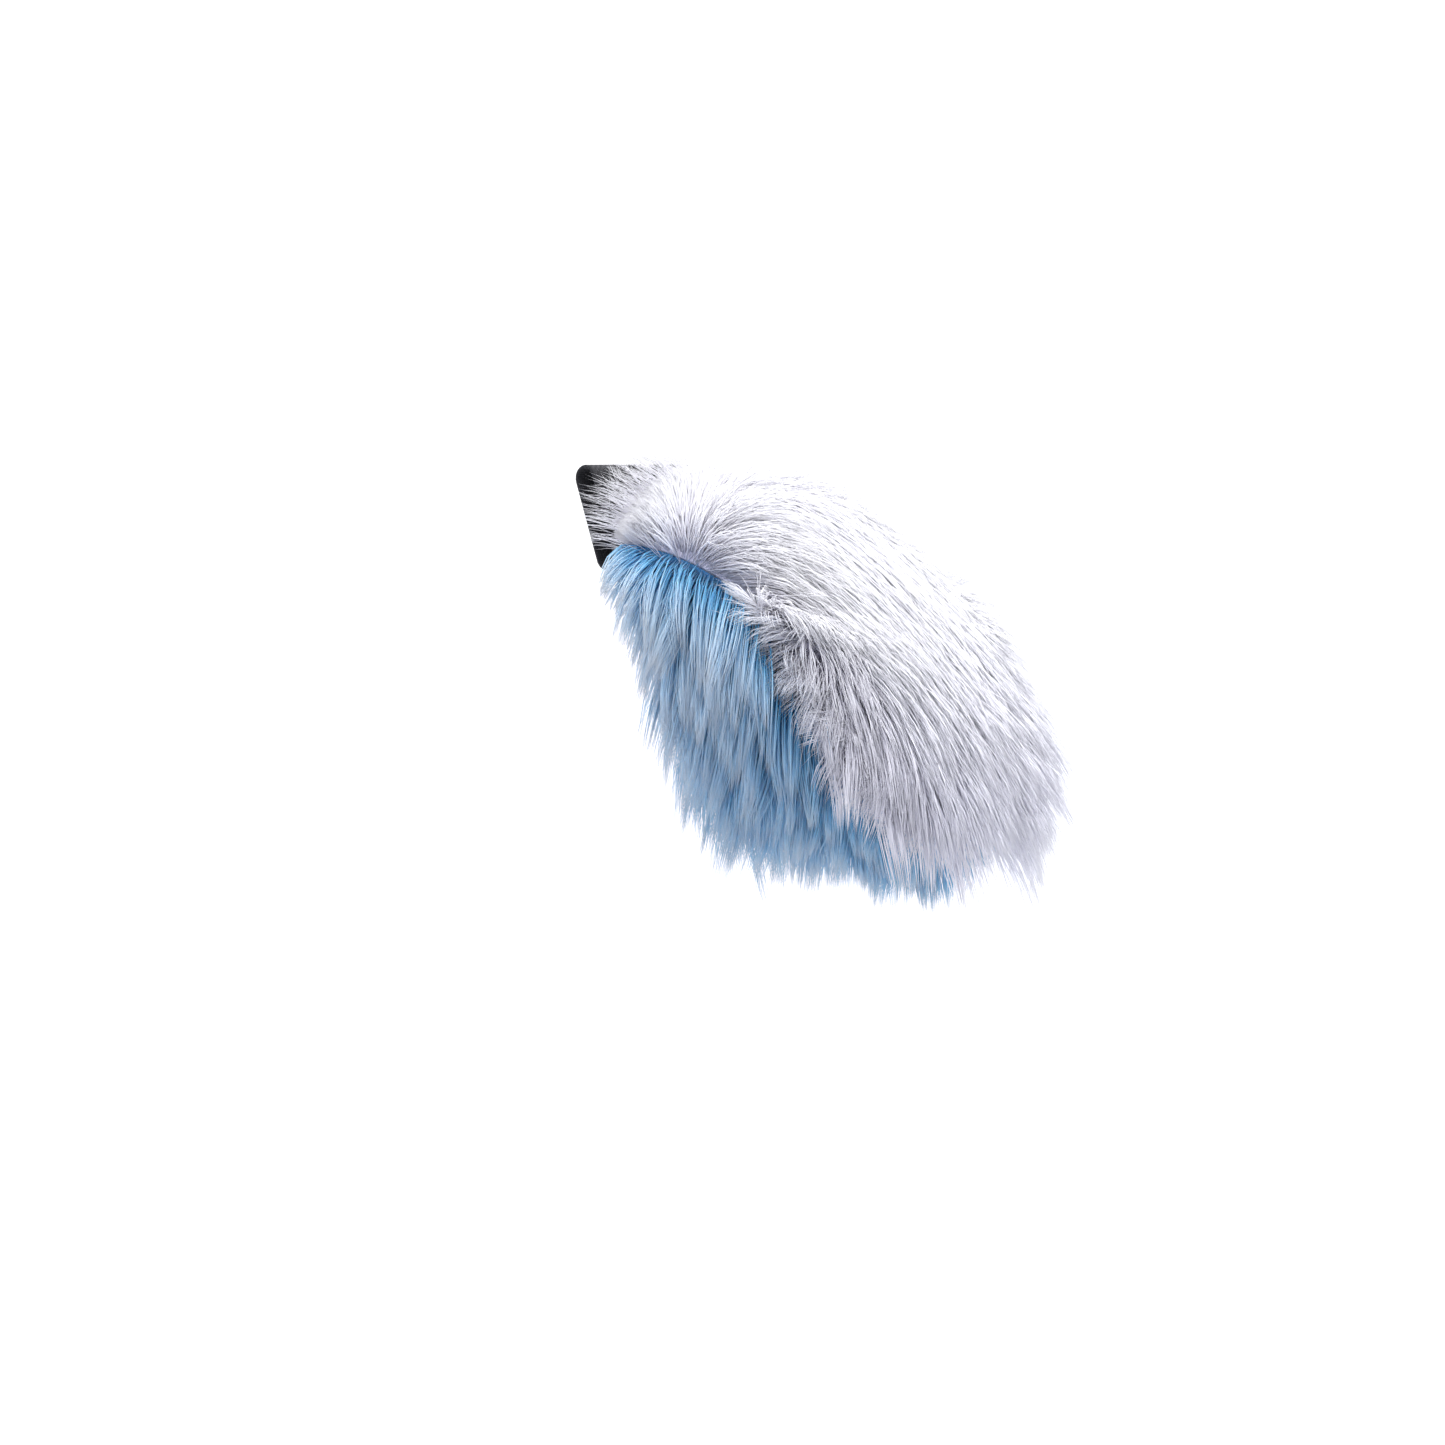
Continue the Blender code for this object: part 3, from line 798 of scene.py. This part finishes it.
def dents(along, angles):
    """How far the body falls in at each point: soft waves of three sizes."""
    wave = np.sin(3 * angles + 17 * along) + np.sin(5 * angles - 23 * along + 1) + np.sin(2 * angles + 31 * along)
    return DENT * np.clip(wave / 3, 0, 1)


turns = np.linspace(0, math.tau, BODY_COLUMNS, endpoint=False)
base_ring = ring_of(0.0, turns, -GAP)
base_middle = base_ring.mean(axis=0)
rows = [base_middle + (base_ring - base_middle) * share for share in (0, 0.35, 0.7, 0.95)]
alongs = np.linspace(0.004, 1, BODY_ROWS)
for along in alongs:
    ring = ring_of(along, turns, -GAP)
    inward = centre(along) - ring
    reach = np.maximum(np.linalg.norm(inward, axis=1, keepdims=True), 1e-6)
    rows.append(ring + inward / reach * np.minimum(dents(along, turns)[:, None], reach * 0.2))
map_rows = path_lengths(np.array([row[0] for row in rows]))
map_columns = np.linspace(0, math.pi * CORE_WIDTH, BODY_COLUMNS + 1)
body_mesh = skin("stuffed_body", rows, map_rows, map_columns, True)
body = add_object("stuffed_body", body_mesh, fibre, "filling")
print("stuffed body with", len(body_mesh.polygons), "faces")

# %% [markdown]
# ## The cloth that the fur grows from
#
# Faux fur is knitted: its hairs stand in a thin knitted cloth. Two cut pieces of it are sewn together along
# the sides, the white one above and the blue one below. Each is a surface with a real thickness.

# %% Backing cloth
CLOTH_THICK = 0.0012
CLOTH_OFF = 0.0016
CLOTH_ROWS = 34
CLOTH_COLUMNS = 24


def backing(name, upper, paint, node):
    """One cut piece of backing, from seam to seam and from base to tip."""
    rows = []
    for along in np.linspace(0.0, 1.0, CLOTH_ROWS):
        below = math.radians(float(read(SEAM_LINE, along, 1)))
        low, high = (-below, math.pi + below) if upper else (math.pi + below, math.tau - below)
        rows.append(ring_of(along, np.linspace(low, high, CLOTH_COLUMNS), CLOTH_OFF * (along < 1)))
    rows[-1][:] = centre(1.0) + forward(1.0) * CLOTH_OFF
    map_rows = path_lengths(np.array([row[CLOTH_COLUMNS // 2] for row in rows]))
    map_columns = path_lengths(rows[CLOTH_ROWS // 2])
    piece = add_object(name, skin(name, rows, map_rows, map_columns, False), paint, node)
    thicken(piece, CLOTH_THICK)
    return piece


backing("top_backing", True, white_knit, "top_fur")
backing("under_backing", False, blue_knit, "under_fur")
print("two pieces of backing,", CLOTH_THICK * 1000, "mm thick")

# %% [markdown]
# ## The black base
#
# Black cloth closes the base. It is cut a little larger than the opening and turned over its edge, so a
# narrow black band shows beside the loops where the fur is thin.

# %% Base cloth
BASE_COLUMNS = 48
BASE_FACE = [
    # share of the oval, depth past the loops
    (0.00, 0.0007),
    (0.35, 0.0007),
    (0.70, 0.0006),
    (0.92, 0.0005),
    (0.985, 0.0007),
    (1.00, 0.0013),
    (0.995, 0.0020),
]
TURNED_OVER = [0.006, 0.022, 0.040, 0.056]
TURNED_OFF = 0.0024

wide, tall = (float(half) + BASE_MARGIN for half in half_sizes(0.0))
turns = np.linspace(0, math.tau, BASE_COLUMNS, endpoint=False)
oval = SIDE * wide * np.cos(turns)[:, None] + UP_BASE * tall * np.sin(turns)[:, None]
rows = [oval * share - UP_BASE * BASE_DROP + OUT * (BASE_FROM + depth) for share, depth in BASE_FACE]
rows += [ring_of(along, turns, TURNED_OFF) for along in TURNED_OVER]
map_rows = path_lengths(np.array([row[0] for row in rows]))
map_columns = path_lengths(np.concatenate((rows[6], rows[6][:1])))
base_mesh = skin("base_cloth", rows, map_rows, map_columns, True)
base_cloth = add_object("base_cloth", base_mesh, felt, "base_panel")
thicken(base_cloth, 0.0006)
print("base cloth,", round(2 * wide * 1000), "mm wide")

# %% [markdown]
# ## Two loops of webbing
#
# Each loop is one strip of woven webbing. It runs up the front of the belt, over it, down behind it and back
# to where it started, and there the two ends are sewn together. So we draw the strip's middle line once and
# carry a flat section with round edges along it.

# %% Belt loops
EDGE_STEPS = 4
FLAT_STEPS = 8
PLY = WEB_THICK * 0.96


def loop_line():
    """The middle line of the strip, as (away from the wearer, up) points."""
    out = (BELT_ROOM_DEEP + WEB_THICK) / 2
    straight = BELT_ROOM_TALL / 2
    pinch = -straight - LOOP_PINCH_TALL
    foot = pinch - SEWN_TAB_TALL
    inner = BELT_ROOM_DEEP / 2 - WEB_THICK / 2
    points = [(out, up) for up in np.linspace(foot, straight, 14)]
    points += [(out * math.cos(a), straight + out * math.sin(a)) for a in np.linspace(0, math.pi, 13)[1:-1]]
    points += [(-out, up) for up in np.linspace(straight, -straight + 0.001, 9)]
    points += [(-out * 0.86, -straight - 0.0012), (inner * 0.55, pinch + 0.0016), (inner, pinch - 0.0004)]
    points += [(inner, up) for up in np.linspace(pinch - 0.0024, foot, 4)]
    return np.array(points)


def strip_section():
    """The strip's section: flat, with round edges, as (across, thick) points."""
    half, round_edge = WEB_WIDTH / 2, PLY / 2
    flat = np.linspace(-half + round_edge, half - round_edge, FLAT_STEPS + 1)
    edge = np.linspace(math.pi / 2, -math.pi / 2, EDGE_STEPS + 1)[1:-1]
    section = [(a, round_edge) for a in flat]
    section += [(half - round_edge + round_edge * math.cos(t), round_edge * math.sin(t)) for t in edge]
    section += [(a, -round_edge) for a in flat[::-1]]
    section += [(-half + round_edge - round_edge * math.cos(t), -round_edge * math.sin(t)) for t in edge]
    return np.array(section)


def belt_loop(name, x):
    line, section = loop_line(), strip_section()
    run = np.gradient(line, axis=0)
    run /= np.linalg.norm(run, axis=1, keepdims=True)
    rows = []
    for (out, up), (run_out, run_up) in zip(line, run):
        middle = SIDE * x + OUT * out + UP_BASE * up
        face = OUT * run_up - UP_BASE * run_out
        rows.append(middle + SIDE * section[:, :1] + face * section[:, 1:])
    rows.insert(0, np.tile(rows[0].mean(axis=0), (len(section), 1)))
    rows.append(np.tile(rows[-1].mean(axis=0), (len(section), 1)))
    map_rows = path_lengths(np.array([row.mean(axis=0) for row in rows]))
    flat_section = np.column_stack((section, np.zeros(len(section))))
    map_columns = path_lengths(np.concatenate((flat_section, flat_section[:1])))
    return add_object(name, skin(name, rows, map_rows, map_columns, True), webbing, name.replace("webbing", "belt_loop"))


for name, x in (("webbing_left", -LOOP_X), ("webbing_right", LOOP_X)):
    piece = belt_loop(name, x)
    print(name, "has", len(piece.data.polygons), "faces")

# %% [markdown]
# ## Sewing thread
#
# A stitch is a short piece of thread that rises out of the cloth and goes back in. Each one here is a small
# arc. Two rows hold the ends of each loop, and one row runs round the edge of the base.

# %% Stitches
THREAD = 0.00026
STITCH = 0.0024
STITCH_PITCH = 0.0034

thread_black, nodes, links, shader = new_material("black_thread")
place = nodes.new("ShaderNodeTexCoord")
twist = nodes.new("ShaderNodeTexNoise")
twist.inputs["Scale"].default_value = 2200
links.new(place.outputs["Object"], twist.inputs["Vector"])
tone = nodes.new("ShaderNodeMix")
tone.data_type = "RGBA"
tone.inputs["A"].default_value = (0.016, 0.016, 0.018, 1)
tone.inputs["B"].default_value = (0.070, 0.070, 0.076, 1)
links.new(twist.outputs["Fac"], tone.inputs["Factor"])
links.new(tone.outputs["Result"], shader.inputs["Base Color"])
shader.inputs["Roughness"].default_value = 0.5


def stitches(name, places, runs, node):
    """Small arcs of thread on the wearer's side, at these places and in these directions."""
    share = np.linspace(-0.5, 0.5, 5)
    arch = np.cos(share * math.pi) * 1.5 * THREAD
    paths = places[:, None] + runs[:, None] * (share * STITCH)[:, None] - OUT * arch[:, None]
    radii = np.tile(THREAD * np.array((0.5, 1, 1, 1, 0.5)), (len(places), 1))
    mesh, _ = strand_mesh(name, paths, radii, 6, False)
    return add_object(name, mesh, thread_black, node)


foot = -BELT_ROOM_TALL / 2 - LOOP_PINCH_TALL - SEWN_TAB_TALL
sewn_face = BELT_ROOM_DEEP / 2 - WEB_THICK + (WEB_THICK - PLY) / 2
for side, x in (("left", -LOOP_X), ("right", LOOP_X)):
    across = np.arange(-5, 6) * STITCH_PITCH * 0.95
    places = [SIDE * (x + a) + UP_BASE * (foot + up) + OUT * sewn_face for up in (0.0018, 0.0058) for a in across]
    stitches(f"loop_stitches_{side}", np.array(places), np.tile(SIDE, (len(places), 1)), f"belt_loop_{side}")

count = 60
turns = np.linspace(0, math.tau, count, endpoint=False)
edge = SIDE * wide * np.cos(turns)[:, None] + UP_BASE * tall * np.sin(turns)[:, None]
places = edge * 0.93 - UP_BASE * BASE_DROP + OUT * (BASE_FROM + 0.0004)
runs = unit(np.roll(edge, -1, axis=0) - np.roll(edge, 1, axis=0))
stitches("base_stitches", places, runs, "base_panel")

# %% [markdown]
# ## Hair pieces
#
# Four values go with every point of a hair for the materials to read: how far out along the hair it is, the
# tone of its lock, the tone of the hair, and the form's own outward direction at its root. The last one lets
# the light fall softly over the whole coat, as it does on real fur, and not hair by hair.

# %% Hair pieces
HAIR_SIDES = 3
HAIR_TAPER = [(0, 0.75), (0.35, 1.0), (0.75, 0.7), (1, 0)]


def hair_piece(name, hair, chosen, thick, rng, paint, node, slot):
    paths = hair["paths"][chosen]
    count, points, _ = paths.shape
    reach = np.linspace(0, 1, points)
    taper = np.interp(reach, *np.transpose(HAIR_TAPER))
    radii = thick * rng.uniform(0.75, 1.2, count)[:, None] * taper
    mesh, each = strand_mesh(name, paths, radii, HAIR_SIDES, True)
    out_share = np.append(np.repeat(reach[:-1], HAIR_SIDES), 1.0)
    values = {
        "out_share": np.tile(out_share, count),
        "lock_tone": np.repeat(hair["lock_tone"][chosen], each),
        "hair_tone": np.repeat(hair["hair_tone"][chosen], each),
    }
    for label, numbers in values.items():
        layer = mesh.attributes.new(label, "FLOAT", "POINT")
        layer.data.foreach_set("value", numbers.astype(np.float32))
    layer = mesh.attributes.new("form_normal", "FLOAT_VECTOR", "POINT")
    layer.data.foreach_set("vector", np.repeat(hair["out"][chosen], each, axis=0).astype(np.float32).ravel())
    return add_object(name, mesh, paint, node)


# %% [markdown]
# ## The colour of a hair
#
# Dyed fur is seldom one colour. On this tail the blue hair fades to a pale, nearly white tip. Low on the tail
# the white hair is painted darker and more lavender, and the blue hair darker: painted shade of the light from
# above. A node group mixes the colours of root, middle and tip by how far out along the hair a point is, and a
# second, darker set of colours takes over low on the tail as painted shade. Each lock and each hair is a
# little lighter or darker. The group puts out a colour and a direction for the light, and each material
# keeps its own shader.

# %% Node group for hair
# Heights between which the fur's colours are painted darker, as painted shade of the light from above
PAINTED_SHADE_FROM_Z = -0.045
PAINTED_SHADE_FULL_Z = -0.125
SHADES = ("Root", "Middle", "Tip")


def build_hair_group():
    group = bpy.data.node_groups.new("hair_look", "ShaderNodeTree")
    sockets = group.interface
    for level in ("High", "Low"):
        for shade in SHADES:
            sockets.new_socket(f"{level} {shade.lower()}", in_out="INPUT", socket_type="NodeSocketColor")
    for label in ("Lock spread", "Hair spread", "Softness"):
        sockets.new_socket(label, in_out="INPUT", socket_type="NodeSocketFloat")
    sockets.new_socket("Colour", in_out="OUTPUT", socket_type="NodeSocketColor")
    sockets.new_socket("Normal", in_out="OUTPUT", socket_type="NodeSocketVector")
    nodes, links = group.nodes, group.links
    given = nodes.new("NodeGroupInput")
    result = nodes.new("NodeGroupOutput")

    def attribute(label, output):
        node = nodes.new("ShaderNodeAttribute")
        node.attribute_name = label
        return node.outputs[output]

    def ramp(value, low, high):
        node = nodes.new("ShaderNodeMapRange")
        node.inputs["From Min"].default_value = low
        node.inputs["From Max"].default_value = high
        links.new(value, node.inputs["Value"])
        return node.outputs["Result"]

    def blend(factor, first, second):
        node = nodes.new("ShaderNodeMix")
        node.data_type = "RGBA"
        links.new(factor, node.inputs["Factor"])
        links.new(first, node.inputs["A"])
        links.new(second, node.inputs["B"])
        return node.outputs["Result"]

    place = nodes.new("ShaderNodeTexCoord")
    split = nodes.new("ShaderNodeSeparateXYZ")
    links.new(place.outputs["Object"], split.inputs["Vector"])
    # Low on the tail the colours turn darker: painted shade of the light from above
    painted_shade_share = ramp(split.outputs["Z"], PAINTED_SHADE_FROM_Z, PAINTED_SHADE_FULL_Z)
    out_share = attribute("out_share", "Fac")

    def shade(name):
        return blend(painted_shade_share, given.outputs[f"High {name}"], given.outputs[f"Low {name}"])

    lower = blend(ramp(out_share, 0.05, 0.50), shade("root"), shade("middle"))
    whole = blend(ramp(out_share, 0.40, 0.92), lower, shade("tip"))

    def spread(label, amount):
        centred = nodes.new("ShaderNodeMath")
        centred.operation = "SUBTRACT"
        centred.inputs[1].default_value = 0.5
        links.new(attribute(label, "Fac"), centred.inputs[0])
        scaled = nodes.new("ShaderNodeMath")
        scaled.operation = "MULTIPLY"
        links.new(centred.outputs[0], scaled.inputs[0])
        links.new(amount, scaled.inputs[1])
        return scaled.outputs[0]

    both = nodes.new("ShaderNodeMath")
    both.operation = "ADD"
    links.new(spread("lock_tone", given.outputs["Lock spread"]), both.inputs[0])
    links.new(spread("hair_tone", given.outputs["Hair spread"]), both.inputs[1])
    bright = nodes.new("ShaderNodeMath")
    bright.operation = "ADD"
    bright.inputs[1].default_value = 1.0
    links.new(both.outputs[0], bright.inputs[0])
    tint = nodes.new("ShaderNodeHueSaturation")
    links.new(bright.outputs[0], tint.inputs["Value"])
    links.new(whole, tint.inputs["Color"])
    links.new(tint.outputs["Color"], result.inputs["Colour"])

    own = nodes.new("ShaderNodeNewGeometry")
    soft = nodes.new("ShaderNodeMix")
    soft.data_type = "VECTOR"
    links.new(given.outputs["Softness"], soft.inputs["Factor"])
    links.new(own.outputs["Normal"], soft.inputs["A"])
    links.new(attribute("form_normal", "Vector"), soft.inputs["B"])
    even = nodes.new("ShaderNodeVectorMath")
    even.operation = "NORMALIZE"
    links.new(soft.outputs["Result"], even.inputs[0])
    links.new(even.outputs["Vector"], result.inputs["Normal"])
    return group


hair_group = build_hair_group()
print("hair group with", len(hair_group.nodes), "nodes")

# %% Fur materials


def fur_material(name, high, low, lock_spread, hair_spread, softness):
    """A fur material from three colours high on the tail and three darker ones low on it, painted shade of the light
    from above.
    """
    made, nodes, links, shader = new_material(name)
    group = nodes.new("ShaderNodeGroup")
    group.node_tree = hair_group
    for level, colours in (("High", high), ("Low", low)):
        for shade, colour in zip(SHADES, colours):
            group.inputs[f"{level} {shade.lower()}"].default_value = (*colour, 1)
    group.inputs["Lock spread"].default_value = lock_spread
    group.inputs["Hair spread"].default_value = hair_spread
    group.inputs["Softness"].default_value = softness
    links.new(group.outputs["Colour"], shader.inputs["Base Color"])
    links.new(group.outputs["Normal"], shader.inputs["Normal"])
    shader.inputs["Roughness"].default_value = 0.65
    shader.inputs["Specular IOR Level"].default_value = 0.2
    shader.inputs["Sheen Weight"].default_value = 0.25
    shader.inputs["Sheen Roughness"].default_value = 0.5
    shader.inputs["Subsurface Weight"].default_value = 0.8
    shader.inputs["Subsurface Radius"].default_value = (1.0, 1.0, 1.0)
    shader.inputs["Subsurface Scale"].default_value = 0.002
    return made


white_hair = fur_material(
    "lavender_white_hair",
    [(0.86, 0.84, 0.96), (0.93, 0.92, 0.98), (0.97, 0.97, 0.99)],
    # Darker low colours: painted shade of the light from above
    [(0.68, 0.67, 0.88), (0.83, 0.81, 0.94), (0.87, 0.87, 0.96)],
    0.04, 0.05, 0.15,
)
blue_hair = fur_material(
    "sky_blue_hair",
    [(0.04, 0.28, 0.66), (0.12, 0.44, 0.80), (0.62, 0.83, 0.98)],
    # Darker low colours: painted shade of the light from above
    [(0.02, 0.20, 0.50), (0.04, 0.29, 0.63), (0.14, 0.43, 0.76)],
    0.16, 0.24, 0.15,
)
print("two fur materials")

# %% [markdown]
# ## Dressing the two panels
#
# Each panel gets a dense, short undercoat and a long outer coat. The outer coat is cut into pieces by where
# the hair grows, so that no piece is too heavy. All of them stand for the solid fur panels.

# %% Outer coats and undercoats
TOP_LOCKS, TOP_WISPS = 420, 3600
UNDER_LOCKS, UNDER_WISPS = 260, 2200


def add_coat(name, upper, count, share_of_pile, steps, thick, seed, parts):
    numbers = (TOP_LOCKS, TOP_WISPS) if upper else (UNDER_LOCKS, UNDER_WISPS)
    paint, node, slot = PANELS[upper]
    hair = coat(upper, count, share_of_pile, steps, seed, *numbers)
    rng = np.random.default_rng(seed + 100)
    for k, chosen in enumerate(np.array_split(np.argsort(hair["angle"]), parts)):
        label = name if parts == 1 else f"{name}_{k + 1}"
        hair_piece(label, hair, chosen, thick, rng, paint, node, slot)


PANELS = {
    True: (white_hair, "top_fur", "lavender_white_fur"),
    False: (blue_hair, "under_fur", "sky_blue_fur"),
}
add_coat("top_coat", True, 21500, 1.0, 4, 0.00027, 11, 3)
add_coat("top_undercoat", True, 6500, 0.75, 3, 0.00038, 12, 1)
add_coat("under_coat", False, 11500, 1.0, 4, 0.00028, 13, 2)
add_coat("under_undercoat", False, 3200, 0.75, 3, 0.00038, 14, 1)

# %% [markdown]
# ## Stray hair
#
# No coat is perfectly combed. Single hairs stand out of it everywhere, and a few thin ones cross the black
# loops. They are finer than the rest, and they are what makes the edge of the tail look soft.

# %% Stray hair


def stray_hair(name, upper, count, seed, stretch, lengths, loose, thick):
    """Single hairs with roots in one stretch of the tail, finer and less combed than the coat."""
    rng = np.random.default_rng(seed)
    _, angle = sow(count, upper, rng)
    along = rng.uniform(*stretch, count)
    direction, length = first_direction(along, angle, upper)
    direction = unit(direction + rng.normal(0, loose, direction.shape))
    length = np.maximum(length, 0.42) * PILE * rng.uniform(*lengths, count)
    out = outward(along, angle)
    paths = grow(on_form(along, angle) + out * 0.001, direction, length, fall_of(along, angle, upper) * 0.6, 4)
    hair = {
        "paths": keep_clear(paths, rng),
        "out": out,
        "lock_tone": rng.uniform(0.3, 1, count),
        "hair_tone": rng.uniform(0, 1, count),
    }
    hair_piece(name, hair, np.arange(count), thick, rng, *PANELS[upper])


stray_hair("stray_white_hair", True, 1500, 31, (0.10, 1.0), (0.88, 1.04), 0.14, 0.00017)
stray_hair("stray_blue_hair", False, 700, 32, (0.10, 1.0), (0.82, 0.96), 0.12, 0.00017)
stray_hair("loop_hair", True, 520, 33, (0.066, 0.14), (0.9, 1.5), 0.12, 0.00015)

# %% Finish
seen_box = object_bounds()
for k, axis in enumerate("xyz"):
    low = (seen_box[0][k] - cad_box[0][k]) * 1000
    high = (seen_box[1][k] - cad_box[1][k]) * 1000
    print(f"{axis}: the dressed tail starts {low:.1f} mm and ends {high:.1f} mm from the solid one")
